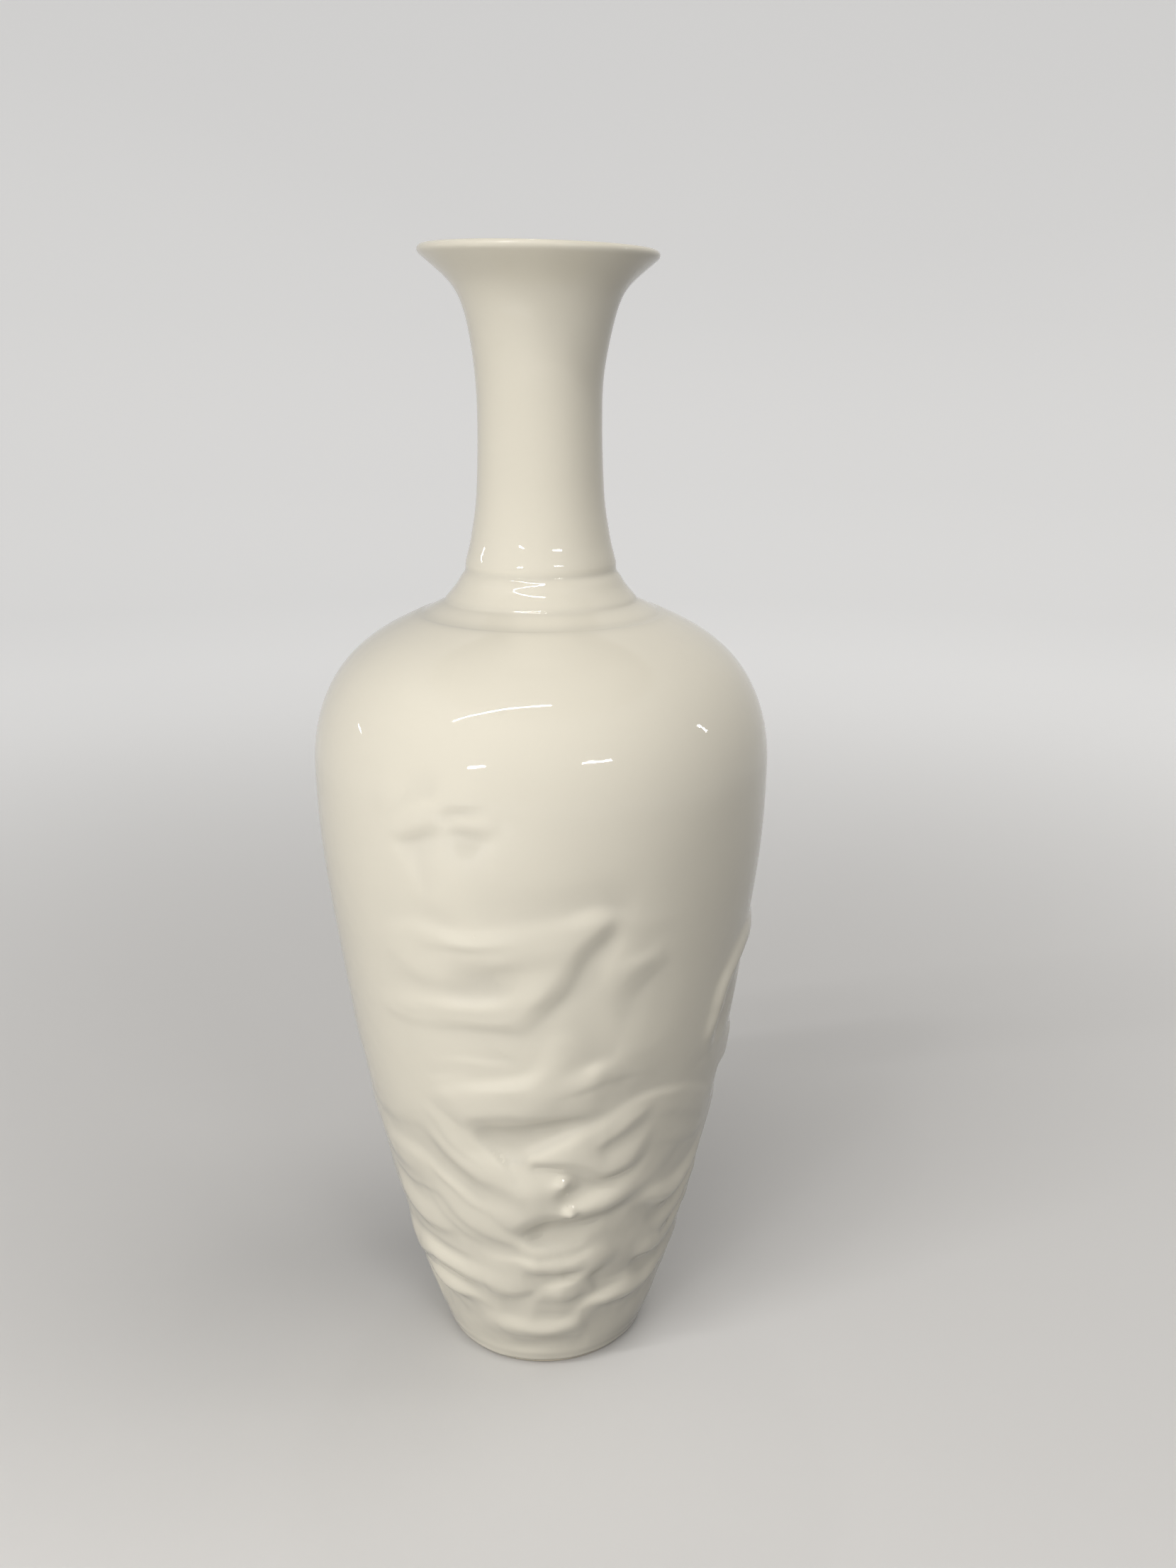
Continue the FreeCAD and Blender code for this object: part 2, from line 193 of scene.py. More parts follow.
# ---------------------------------------------------------------------------
# Lower body: the tall tapering section, thrown with its floor. Low waves are
# carved in its face while the clay is leather hard, so the waves are the
# clay's own and the glaze only follows them.
# Each row is the share of the way out from the foot to the belly and the
# share of the way up.
# ---------------------------------------------------------------------------
BODY_START = 5.4
BELLY_HEIGHT = 172.0
BELLY_RADIUS = 60.5
BODY_WALL = 4.0
FLOOR_TOP = 11.4
FLOOR_RADIUS = 14.0
LOWER_BODY_SHARES = ((0.00, 0.000), (0.16, 0.075), (0.41, 0.240), (0.73, 0.520),
                     (0.91, 0.770), (1.00, 0.900), (1.00, 1.000))


def smooth_curve(points, count):
    """Points spread along the smooth curve that these poles pull."""
    poles = np.array(points, float)
    degree = min(3, len(poles) - 1)
    spans = len(poles) - degree
    knots = np.concatenate([np.zeros(degree), np.arange(spans + 1), np.full(degree, spans)]) / spans
    along = np.linspace(0, 1, count)[:, None]
    weights = [((along >= a) & ((along < b) | ((b == 1) & (along == 1)))).astype(float)
               for a, b in zip(knots[:-1], knots[1:])]
    for order in range(1, degree + 1):
        raised = []
        for index in range(len(weights) - 1):
            start, end = knots[index], knots[index + order]
            next_start, next_end = knots[index + 1], knots[index + order + 1]
            rising = (along - start) / (end - start) if end > start else 0
            falling = (next_end - along) / (next_end - next_start) if next_end > next_start else 0
            raised.append(rising * weights[index] + falling * weights[index + 1])
        weights = raised
    return np.hstack(weights) @ poles


def between(start, end, shares):
    """Outline points at these shares of the way from start to end."""
    return [(start[0] + (end[0] - start[0]) * out, start[1] + (end[1] - start[1]) * up)
            for out, up in shares]


def even_rows(outline, step):
    """The outline again, with its points one step apart."""
    outline = np.array(outline, float)
    lengths = np.concatenate([[0], np.cumsum(np.linalg.norm(np.diff(outline, axis=0), axis=1))])
    count = max(2, int(round(lengths[-1] / step)) + 1)
    places = np.linspace(0, lengths[-1], count)
    return np.stack([np.interp(places, lengths, outline[:, axis]) for axis in (0, 1)], axis=-1)


def inward(outline, depth):
    """The outline moved into the wall by depth, square to the face."""
    outline = np.array(outline, float)
    run = np.gradient(outline, axis=0)
    run /= np.linalg.norm(run, axis=1, keepdims=True)
    return outline - np.stack([run[:, 1], -run[:, 0]], axis=-1) * np.reshape(depth, (-1, 1))


lower_face = smooth_curve(between((FOOT_TOP_RADIUS, BODY_START), (BELLY_RADIUS, BELLY_HEIGHT),
                                  LOWER_BODY_SHARES), 400)

# The carving, read from the front. A stroke is a sloped face between two levels
# of clay. Each of its points is: degrees round the vase, height, drop over the
# slope, width of the slope. All run to the right or up. With a drop above 0 the
# clay stands out on the upper or left side of the line, and the face looks down
# or to the right, into the shade; below 0 it is the other way round, and the
# face looks up into the light.
FRONT_STROKES = (
    # the great wave in the middle: its long lower edge, and the hollow of the curl
    ((-46, 115, 0, 3.1), (-40, 115.5, 0.39, 3.9), (-35, 115, 0.3, 3.9), (-28, 116.5, 0.39, 3.9),
     (-20, 118, 0.52, 3.9), (-11, 118.2, 0.68, 4.6), (-5, 117.8, 0.52, 5.4), (0, 121, 0.52, 7.8),
     (4, 126.5, 1.03, 7.8), (8, 130.5, 0.95, 7), (11, 136, 0.86, 7), (13.5, 140.5, 1.03, 7), (17, 144.5, 0.86, 5.4),
     (21, 146.5, 0, 4.6)),
    ((-40, 118.8, 0, 2.3), (-36, 118.6, 0.13, 2.3), (-28, 119.8, 0.18, 2.3), (-20, 119.6, 0, 2.3)),
    ((-25, 134, 0, 6.2), (-20, 134.5, 0.57, 7), (-13, 134, 0.85, 7.8), (-8, 135, 0.75, 6.2), (-3, 137, 0.37, 6.2),
     (5, 137.5, 0.24, 6.2), (9, 138, 0, 6.2)),
    ((-42, 134.5, 0, 3.1), (-38, 133, 0.34, 3.9), (-33, 129.5, 0.34, 4.6), (-27, 128.8, 0.39, 5.4),
     (-18, 129.5, 0.25, 4.6), (-10, 131.5, 0, 4.6)),
    ((18, 126, 0, 9.3), (22, 127.5, 0.78, 9.3), (27, 130, 0.78, 8.5), (31, 132.5, 0.49, 6.2), (35, 134.5, 0, 6.2)),
    ((22, 143, 0, 4.6), (28, 143, 0.18, 4.6), (36, 143.5, 0, 4.6)),
    ((-14, 153.5, 0, 12.4), (0, 154.5, 0.3, 12.4), (12, 154, 0.3, 12.4), (22, 156, 0.18, 13.9), (34, 160, 0.1, 15.5),
     (50, 168, 0.18, 15.5), (58, 175, 0, 12.4)),
    ((-27, 150.5, 0, 4.6), (-22, 148.5, 0.25, 5.4), (-16, 146.8, 0, 4.6)),
    # its crest and the foam along its back
    ((-44, 137.5, 0, 4.6), (-38, 141, -0.17, 5.8), (-32, 143.5, -0.23, 6.9), (-26, 144.5, -0.2, 5.8),
     (-21, 142, -0.33, 4.6), (-13, 142.5, -0.4, 5.8), (-8, 144.5, -0.4, 8), (0, 144.8, -0.47, 8),
     (6, 146, -0.47, 5.8), (11, 148.8, -0.73, 5.8), (17, 149.3, -0.73, 5.8), (20, 148, -0.47, 5.8),
     (24, 146, 0, 5.8)),
    ((5, 121, 0, 5.8), (12, 127, -0.2, 6.9), (17, 133, -0.33, 6.9), (20, 139, -0.4, 5.8), (22, 144, -0.2, 5.8),
     (22, 148, 0, 5.8)),
    ((-48, 119, 0, 4.6), (-40, 123, -0.2, 5.8), (-30, 123.5, -0.33, 6.9), (-20, 124, -0.33, 6.9),
     (-12, 124, -0.4, 5.8), (-4, 127, -0.33, 6.9), (2, 132, -0.26, 6.9), (6, 137, 0, 5.8)),
    ((-35, 111, 0, 5.8), (-20, 113, -0.14, 6.9), (-5, 113, -0.2, 6.9), (2, 115, -0.33, 8), (6, 118, -0.2, 8),
     (10, 121, 0, 8)),
    ((19, 133, 0, 3.4), (24, 134.5, -0.33, 4), (29, 137, -0.26, 4), (33, 139, 0, 3.4)),
    # the second crest, and the deep groove under it
    ((-34, 92, 0, 5), (-30, 95, -0.34, 5), (-24, 98, -0.42, 5), (-18, 100, -0.68, 5), (-10, 101, -0.85, 5.5),
     (-3, 102.5, -0.94, 5.5), (1, 106, -0.51, 6), (2, 112, -0.26, 5), (3, 117, 0, 5)),
    ((-33, 99, 0, 2.5), (-29, 101, -0.26, 2.5), (-25, 102, -0.26, 2.5), (-21, 103, 0, 2.5)),
    ((7, 104, 0, 6), (11, 104, -0.68, 6.5), (15, 104.5, -0.85, 7), (19, 105.5, -0.59, 6), (23, 106, 0, 6)),
    ((-22, 84, 0, 7), (-20, 86.3, 1.8, 8), (-16, 88, 2.3, 9), (-10, 88.8, 2.4, 9), (-4, 89, 2.4, 9),
     (2, 89.3, 2, 7.5), (8, 90, 1.3, 5.5), (14, 91, 0.7, 4.5), (20, 93, 0, 4.2)),
    ((-4, 94, 0, 8.1), (4, 94.5, 0.99, 10.8), (12, 94.5, 0.53, 9.5), (18, 95.5, 0.33, 6.8), (26, 97, 0, 5.4)),
    ((19, 107, 0, 8.1), (24, 105.5, 0.66, 12.2), (30, 104.5, 0.66, 12.2), (36, 105, 0.33, 10.8), (44, 106, 0, 10.8)),
    ((8, 111, 0, 7.8), (14, 112, 0.25, 7.8), (20, 111.5, 0.22, 7.8), (26, 110, 0, 7.8)),
    # the broad slope below the groove, and the crest line that leaves it to the right
    ((-26, 77, 0, 5.4), (-21, 77.5, -0.5, 7.2), (-14, 77, -0.87, 8.1), (-6, 77, -0.65, 8.1), (0, 81, -0.87, 7.2),
     (6, 84, -0.94, 7.2), (12, 86, -0.72, 5.4), (17, 88.5, -0.35, 4), (24, 91.5, -0.34, 3.4), (29, 93.5, -0.34, 3),
     (36, 94.5, -0.34, 3), (44, 93.5, -0.34, 3), (52, 91, -0.3, 3), (60, 87, -0.26, 3), (68, 82, 0, 3)),
    ((-24, 71, 0, 6), (-16, 73.5, -0.38, 7), (-9, 71.5, -0.7, 9), (-2, 69.5, -0.77, 8), (3, 70.5, -0.44, 7),
     (8, 71, 0, 5)),
    ((20, 87.5, 0, 4), (24, 88.5, -0.42, 5), (30, 90, -0.26, 5), (36, 92, 0, 4)),
    ((18, 81, 0, 3.4), (21, 82, 0.88, 3.4), (26, 83.5, 0.77, 4.1), (31, 86, 0.55, 5.4), (36, 89, 0, 5.4)),
    ((14, 77, 0, 5), (20, 76.5, -0.21, 6), (26, 77.5, -0.24, 7), (32, 80, -0.21, 5), (36, 84, 0, 5)),
    ((-4, 75.5, 0, 4.1), (0, 76.5, 0.99, 4.1), (5, 76, 1.21, 4.7), (10, 74.5, 1.43, 6.1), (15, 72.5, 1.54, 6.8),
     (20, 70.8, 1.32, 4.7), (27, 71.3, 1.21, 4.7), (32, 74, 0.88, 5.4), (36, 79, 0.44, 5.4), (38, 83, 0, 5.4)),
    ((-40, 84, 0, 5.4), (-36, 80.5, 0.33, 5.4), (-32, 76.5, 0.99, 5.4), (-27, 73, 1.43, 5.4), (-22, 69.8, 1.43, 5.4),
     (-17, 67.5, 0.99, 5.4), (-11, 66.3, 0.33, 6.8), (-4, 64, 0.33, 6.8), (2, 61, 0, 6.8)),
    ((4, 65, 0, 4.1), (7, 66.3, 0.99, 4.1), (10, 67.5, 0.99, 4.1), (13, 70, 0, 4.1)),
    ((5, 60, 0, 3), (10, 61.5, -0.4, 4), (16, 63.5, -0.44, 5), (22, 65.5, -0.46, 5), (28, 67.5, -0.36, 5),
     (33, 70, -0.16, 4), (38, 75, 0, 4)),
    # the third groove, which runs out round the right side
    ((-9, 51, 0, 6), (-6, 53, 1.9, 6.5), (-2, 55.8, 2.4, 9.5), (2, 57.2, 2.4, 10), (6, 56.9, 2.3, 8.5),
     (12, 56.6, 2.3, 7.5), (18, 57.2, 2.3, 7), (25, 58.6, 2.3, 7.5), (31, 60.5, 1.6, 7.5), (36, 62.5, 0.6, 7),
     (41, 65, 0, 6)),
    ((34, 58.5, 0, 4.5), (38, 57, 0.8, 4.5), (43, 54.8, 1.4, 4.5), (50, 53, 1.6, 4.5), (57, 54, 1.6, 4.6),
     (64, 56.8, 1.5, 5), (72, 61, 0.9, 5), (80, 65, 0, 5)),
    ((-12, 47.5, 0, 5), (-7, 48.5, -0.77, 6), (0, 48.8, -1.1, 7), (10, 49.3, -1.1, 7), (17, 50.5, -0.8, 6),
     (24, 52.5, 0, 5)),
    ((-22, 42.5, 0, 3.5), (-12, 42.5, -0.42, 3.5), (0, 42.5, -0.59, 3.5), (12, 43, -0.59, 3.5), (19, 44.5, -0.3, 4),
     (26, 47, 0, 4)),
    ((-41, 63, 0, 4.1), (-36, 59.5, 0.39, 4.1), (-30, 54, 0.44, 4.1), (-24, 50.5, 0.44, 4.1), (-17, 48.3, 0.44, 4.1),
     (-10, 47.3, 0.33, 4.1), (-3, 47, 0, 4.1)),
    ((-27, 45, 0, 5), (-20, 43.5, -0.26, 5), (-12, 44, 0, 4)),
    # ripples near the foot
    ((-8, 38, 0, 4.1), (-4, 38.3, 0.88, 4.1), (4, 38.2, 1.1, 4.1), (11, 38, 0.99, 4.1), (17, 39, 0, 4.1)),
    ((1, 32.5, 0, 4), (4, 33, -0.85, 4.5), (9, 34, -1.02, 5.5), (14, 35.5, -0.77, 4.5), (18, 38, 0, 3)),
    ((15.5, 34, 0, 5), (18, 35.5, 0.99, 5.5), (22, 36.5, 1.2, 6), (26, 38, 0.8, 6), (30, 40, 0.3, 6), (33, 42, 0, 6)),
    ((-22, 27.5, 0, 4.1), (-18, 28, 1.21, 4.7), (-12, 29, 1.32, 4.7), (-7, 30.3, 0.99, 4.1), (-2, 31.5, 0, 2.7)),
    ((-2, 28.5, 0, 4.7), (3, 27.8, 1.1, 4.7), (8, 27.2, 1.43, 5.4), (13, 27.5, 1.1, 4.7), (19, 29, 0, 2.7)),
    ((-29, 20, 0, 4), (-22, 18.5, -0.35, 5), (-12, 17.7, -0.56, 5.5), (0, 17.8, -0.66, 5.5), (10, 18, -0.56, 5),
     (16, 19, -0.3, 5), (20, 20, 0, 4)),
    ((-38, 15, 0, 7.4), (-30, 14, 0.31, 7.4), (-20, 12, 0.82, 5.9), (-10, 12.3, 1.34, 6.8), (0, 12.5, 1.44, 7.4),
     (10, 12.5, 1.44, 7.4), (18, 13, 1.24, 8.2), (22, 13.5, 0, 7.4)),
    ((20, 7, 0, 4.1), (20.5, 12, 0.35, 4.1), (20.5, 17, 0.35, 4.1), (20, 22, 0, 4.1)),
    ((-22, 6.5, 0, 4), (-14, 5.5, -0.26, 4), (0, 6.5, -0.42, 4), (12, 7, -0.34, 4), (18, 8, 0, 4)),
    # ripples that run round the left side
    ((-75, 29.5, 0, 5.3), (-64, 31.5, 1.29, 5.3), (-55, 32.3, 1.57, 5.8), (-46, 33, 1.57, 5.8),
     (-40, 32.4, 1.29, 5.3), (-30, 31.3, 1, 5.3), (-22, 30.5, 0.72, 5.3), (-16, 30, 0.43, 5.3), (-10, 30.5, 0, 5.3)),
    ((-78, 27, 0, 4), (-64, 28.5, -0.31, 3.5), (-54, 28.8, -0.45, 4), (-44, 27.5, -0.5, 4.5), (-34, 26, -0.41, 4),
     (-26, 24.5, -0.22, 4), (-18, 23, 0, 4)),
    ((-70, 26, 0, 5.1), (-60, 26.5, 1.84, 5.1), (-56, 24.8, 2.47, 5.4), (-50, 22.8, 2.67, 5.1),
     (-42, 21.8, 2.47, 4.7), (-35, 22.2, 1.24, 4.7), (-28, 23, 0.42, 5.1), (-22, 24, 0, 5.1)),
    ((-78, 38, 0, 6), (-62, 38.5, -0.77, 6), (-50, 38.5, -0.89, 6), (-38, 37.5, -0.63, 6), (-28, 36.5, -0.63, 6),
     (-18, 35, -0.51, 6), (-9, 34, 0, 5)),
    ((-70, 52, 0, 5.4), (-62, 49.5, 0.66, 5.4), (-54, 46.3, 1.16, 4.7), (-46, 45.2, 1.16, 4.7), (-38, 46, 0.83, 4.1),
     (-32, 47.5, 0, 4.1)),
    ((-72, 57, 0, 6), (-58, 55, -0.51, 8), (-48, 55, -0.51, 8), (-38, 53, 0, 6)),
    ((-72, 67, 0, 6.5), (-60, 64.5, 0.52, 6.5), (-48, 64.5, 0.52, 6.5), (-40, 66, 0.2, 6.5), (-34, 67, 0, 6.5)),
    ((-72, 73, 0, 6), (-58, 73, -0.45, 6), (-46, 73.5, -0.45, 6), (-38, 71, -0.54, 5), (-30, 67, -0.63, 5),
     (-22, 62.5, -0.63, 5), (-15, 60, -0.45, 5), (-9, 59, 0, 5)),
    ((-72, 80, 0, 4.9), (-60, 79, 0.39, 5.7), (-50, 80.5, 0.33, 4.9), (-38, 84.5, 0.39, 4.9), (-32, 88, 0, 4.9)),
    # finer ripples between the waves
    ((-42, 72, 0, 2), (-36, 67.5, 0.3, 2.2), (-30, 63, 0.34, 2.2), (-23, 59.5, 0.3, 2.2), (-15, 57.5, 0, 2)),
    ((-44, 57.5, 0, 2), (-38, 53.5, 0.26, 2.2), (-32, 49.5, 0.3, 2.2), (-26, 46.8, 0.26, 2.2), (-19, 45.5, 0, 2)),
    ((-38, 90, 0, 2), (-33, 85, 0.26, 2.4), (-28, 80.5, 0.34, 2.6), (-22, 76.5, 0.3, 2.4), (-15, 74.5, 0, 2)),
    ((-66, 61, 0, 2), (-58, 59.5, 0.3, 2.4), (-50, 60, 0.34, 2.4), (-43, 60.5, 0.26, 2.2), (-36, 59, 0, 2)),
    ((-64, 43, 0, 2), (-54, 41.5, 0.3, 2.2), (-44, 41, 0.34, 2.2), (-34, 41.5, 0.26, 2.2), (-24, 40.5, 0, 2)),
    ((-64, 20, 0, 2), (-54, 18.5, 0.24, 2.2), (-44, 17.5, 0.3, 2.2), (-34, 17, 0, 2)),
    ((-32, 139, 0, 2), (-25, 138, 0.24, 2.4), (-17, 139, 0.3, 2.4), (-10, 140.5, 0.2, 2.4), (-4, 142, 0, 2)),
    ((-34, 121.5, 0, 2), (-26, 121, 0.2, 2.4), (-17, 121.5, 0.26, 2.4), (-9, 122, 0.2, 2.4), (-3, 124, 0, 2)),
    ((-30, 106, 0, 2), (-24, 107.5, -0.22, 2.4), (-17, 108, -0.3, 2.4), (-9, 107.5, -0.22, 2.4), (-2, 108, 0, 2)),
    ((4, 98, 0, 2), (10, 99.5, 0.3, 2.6), (17, 100, 0.34, 2.6), (25, 101, 0.24, 2.6), (33, 101.5, 0, 2)),
    ((36, 87, 0, 2), (44, 86, 0.24, 2.6), (52, 82.5, 0.3, 2.6), (60, 77.5, 0.24, 2.6), (67, 73, 0, 2)),
    ((36, 78, 0, 2), (44, 76, 0.22, 2.6), (52, 72.5, 0.3, 2.6), (60, 70.5, 0.22, 2.6), (68, 71, 0, 2)),
    ((22, 32, 0, 2), (30, 31, -0.26, 2.2), (38, 31, -0.3, 2.2), (48, 31.5, -0.26, 2.2), (58, 33, 0, 2)),
    ((-4, 23.5, 0, 2), (3, 23, 0.3, 2.2), (10, 22.5, 0.3, 2.2), (16, 23.5, 0, 2)),
    # ripples that run round the right side
    ((21, 22.5, 0, 3.4), (26, 22, 0.99, 4.1), (33, 21.8, 1.43, 4.1), (42, 22, 1.43, 4.1), (50, 23, 1.32, 4.1),
     (57, 25, 0.99, 4.1), (66, 28, 0, 3.4)),
    ((13, 22, 0, 3), (18, 24, -0.68, 4), (24, 27, -1.02, 5), (34, 27.5, -1.1, 6), (46, 27.5, -1.1, 7),
     (58, 29.5, -1.1, 7), (68, 32, -0.68, 6), (80, 34, 0, 6)),
    ((38, 35.5, 0, 3.4), (44, 35.8, 1.32, 4.1), (50, 35.6, 1.45, 4.1), (56, 36.3, 1.45, 4.1), (62, 37, 1.19, 4.1),
     (72, 39, 0, 4.1)),
    ((40, 41, 0, 4), (48, 41, -0.42, 5), (56, 40.5, -0.77, 5), (64, 43, -0.94, 5), (72, 46, -0.68, 5),
     (80, 49, 0, 5)),
    ((50, 41.5, 0, 4.1), (55, 43.5, 1.1, 4.7), (60, 45.5, 1.32, 4.7), (65, 47.5, 1.1, 4.7), (74, 51, 0.66, 4.1),
     (82, 54, 0, 4.1)),
    ((40, 46.5, 0, 5), (48, 47.5, -0.48, 5), (56, 49.5, -0.95, 5), (64, 52.5, -1.08, 5), (74, 57, -0.59, 5),
     (82, 60, 0, 5)),
    ((36, 64, 0, 5), (42, 60, -1.1, 6), (50, 58.5, -1.1, 5.5), (58, 60, -0.88, 5.5), (66, 64, -0.55, 5),
     (74, 69, 0, 5)),
    ((22, 13, 0, 7), (32, 13.5, -0.26, 8), (46, 14, -0.34, 9), (60, 15, -0.34, 9), (74, 17, -0.17, 8),
     (84, 18, 0, 8)),
    # the small cloud high on the left
    ((-35, 165.5, 0, 3.9), (-31, 167.5, 1.21, 5.3), (-26, 169.5, 1.06, 3.9), (-21, 171.5, 0, 3.3)),
    ((-21, 171.5, 0, 3.9), (-17, 171.3, 1.51, 3.9), (-12, 170, 1.21, 5.3), (-8, 168.5, 0, 3.9)),
    ((-23, 174.3, 0, 2.4), (-19, 175.3, 1.1, 2.8), (-15, 175.6, 1, 2.8), (-11.5, 175.8, 0.5, 2.4),
     (-9, 176.2, 0, 2.2)),
    ((-22, 171.8, 0, 2.6), (-18, 173, -0.6, 2.8), (-13, 173.2, -0.7, 2.8), (-9, 172.5, 0, 2.6)),
    ((-32, 173.5, 0, 2.4), (-28, 175.8, -0.9, 2.6), (-23.5, 177.4, -1, 2.4), (-20, 177.8, 0, 2)),
    ((-38, 170.5, 0, 2.2), (-35.5, 174, 0.8, 2.4), (-33, 177, 0.8, 2.4), (-30.5, 179.5, 0, 2.2)),
    ((-27, 151, 0, 2), (-29, 157, 0.4, 2.4), (-28, 165, 0, 2)),
)
# Wide soft faces on the two sides, where the photograph shows only the outline
SIDE_STROKES = (
    # the curl on the right edge: its back, its hollow, and the long slope behind it
    ((56.5, 96, 0, 3.5), (54.5, 102, -0.4, 3.5), (54, 109, -0.6, 3.5), (55.5, 116, -0.7, 3.5), (59.5, 122, -0.8, 4),
     (66, 126, -0.9, 5), (74, 129.5, -0.8, 5), (84, 131, -0.6, 6), (96, 130, -0.6, 7), (108, 125, -0.5, 7),
     (118, 117, 0, 7)),
    ((60.5, 99, 0, 4), (59.5, 104, 1.2, 4.8), (60, 110, 1.6, 5.2), (61.5, 115.5, 1.6, 5.4), (65.5, 120, 1.5, 6),
     (74, 123, 1.2, 6), (84, 124.5, 0.9, 6), (94, 123, 0.7, 6), (104, 118, 0.3, 6), (110, 113, 0, 6)),
    ((70, 99, 0, 5), (80, 97, -0.8, 6), (92, 95.5, -0.9, 6), (104, 97, -0.8, 6), (116, 101, 0, 6)),
    ((70, 89, 0, 4), (82, 86, 1.1, 5), (96, 84.5, 1.3, 5), (110, 87, 1, 5), (122, 92, 0, 5)),
    ((72, 77, 0, 4), (84, 76.5, -0.7, 5), (98, 75, -0.8, 5), (112, 77, 0, 5)),
    ((74, 64, 0, 4), (86, 66.5, 1.1, 5), (100, 65.5, 1.2, 5), (114, 62, 0, 5)),
    ((76, 51, 0, 5), (88, 54, -0.7, 5), (102, 53.5, -0.7, 5), (114, 50, 0, 5)),
    ((72, 42, 0, 4), (84, 44.5, 1, 4), (98, 44, 1.1, 4), (112, 41, 0, 4)),
    ((72, 33.5, 0, 5), (86, 34.5, -0.7, 5), (102, 35, -0.6, 5), (112, 34, 0, 5)),
    ((72, 27, 0, 4), (86, 25, 0.8, 4), (102, 26, 0.8, 4), (114, 27, 0, 4)),
    # the waves on the left side
    ((-128, 131, 0, 6), (-116, 135, -0.5, 7), (-104, 136, -0.4, 7), (-90, 133, -0.15, 7), (-78, 130, 0, 7)),
    ((-126, 122, 0, 4), (-114, 126, 0.9, 5), (-103, 126, 0.6, 5), (-92, 123, 0.2, 5), (-80, 120, 0, 5)),
    ((-124, 106, 0, 6), (-110, 103, -0.6, 7), (-98, 101.5, -0.3, 7), (-84, 102, -0.15, 7), (-70, 105, 0, 7)),
    ((-122, 96, 0, 4), (-110, 92.5, 0.9, 5), (-97, 91, 0.5, 5), (-82, 92.5, 0.25, 5), (-68, 95, 0, 5)),
    ((-112, 80, 0, 6), (-100, 82, -0.6, 6), (-84, 82, -0.5, 6), (-70, 80, 0, 6)),
    ((-112, 70, 0, 4), (-98, 71.5, 0.8, 5), (-84, 70.5, 0.7, 5), (-70, 70, 0, 5)),
    ((-112, 57, 0, 5), (-98, 59, -0.6, 5), (-84, 58.5, -0.5, 5), (-72, 57, 0, 5)),
    ((-110, 47, 0, 4), (-98, 48, 0.8, 4), (-84, 47.5, 0.8, 4), (-70, 47, 0, 4)),
    ((-112, 31, 0, 4), (-98, 32, 0.9, 4), (-84, 31, 1.1, 4), (-74, 30, 0, 4)),
)
# Small drops of spray that stand on the carving: degrees, height, width, thickness
BEADS = ((6.5, 70.2, 1.5, 1.3), (10.2, 60.6, 1.5, 1.5), (-1.5, 78.5, 1.6, 0.4), (16, 104.5, 2.0, 0.35))
CARVING_DEPTH = 1.45
# The waver of a cut made by hand: size of its cells, sideways, up, and on depth
WAVER_CELL = 8.0
WAVER_DEGREES = 1.1
WAVER_HEIGHT = 0.8
WAVER_DEPTH = 0.3
# Fine unevenness of the cut clay: size of its cells and its height
TOOLING = ((6.0, 0.10), (3.0, 0.06))
CARVING_TOP = 165
PATH_POINTS = 48
SLOPE_LEAST = 1.0
CARVING_FOOT = 3.0
CARVING_FADE = 5.0
# Where round the vase each repeat of the front carving is centred, and how far
# it is stretched; the first repeat on the back is mirrored
REPEATS = ((0, 1.0), (142, -0.62), (228, 0.62))


def wall_radius(heights):
    """The radius of the plain turned face at these heights."""
    return np.interp(heights, lower_face[:, 1], lower_face[:, 0])


def eased(share):
    """A share from 0 to 1 with its two ends rounded."""
    share = np.clip(share, 0, 1)
    return share * share * (3 - 2 * share)


def nearest_on(line, across, up):
    """How far each point lies from a line, with plus on its left, and how far along it."""
    start, run = line[:-1], np.diff(line, axis=0)
    offset = np.stack([across[:, None] - start[:, 0], up[:, None] - start[:, 1]], axis=-1)
    share = np.clip((offset * run).sum(-1) / (run * run).sum(-1), 0, 1)
    gap = offset - share[..., None] * run
    square = (gap * gap).sum(-1)
    best = square.argmin(1)
    row = np.arange(len(across))
    side = run[best, 0] * offset[row, best, 1] - run[best, 1] * offset[row, best, 0]
    return np.sqrt(square[row, best]) * np.sign(side), best + share[row, best]


def cut(depth, strokes, around, heights, stretch=1.0):
    """Adds these strokes to the depth of the carving."""
    around = around / stretch
    for stroke in strokes:
        path = smooth_curve(stroke, PATH_POINTS)
        scale = wall_radius(path[:, 1].mean()) * np.pi / 180
        low, high = path.min(0), path.max(0)
        far = 2.0 * (1.5 * high[3] + 1.5)
        near = (heights > low[1] - far) & (heights < high[1] + far)
        near &= (around > low[0] - far / scale) & (around < high[0] + far / scale)
        if not near.any():
            continue
        flat = path[:, :2] * (scale, 1)
        away, along = nearest_on(flat, around[near] * scale, heights[near])
        step = np.arange(len(path))
        drop = np.interp(along, step, path[:, 2])
        slope = np.maximum(np.interp(along, step, path[:, 3]), SLOPE_LEAST)
        face = 2 * eased(away / slope + 0.5) - 1
        depth[near] += 0.5 * CARVING_DEPTH * drop * face * np.exp(-(away / (1.5 * slope + 1.5)) ** 2)


def beaded(around, heights, stretch):
    """How far the beads stand out."""
    total = np.zeros(around.shape)
    for degrees, height, width, thickness in BEADS:
        sideways = (around / stretch - degrees) * np.pi / 180 * wall_radius(height)
        total += thickness * np.exp(-(sideways ** 2 + (heights - height) ** 2) / width ** 2)
    return total


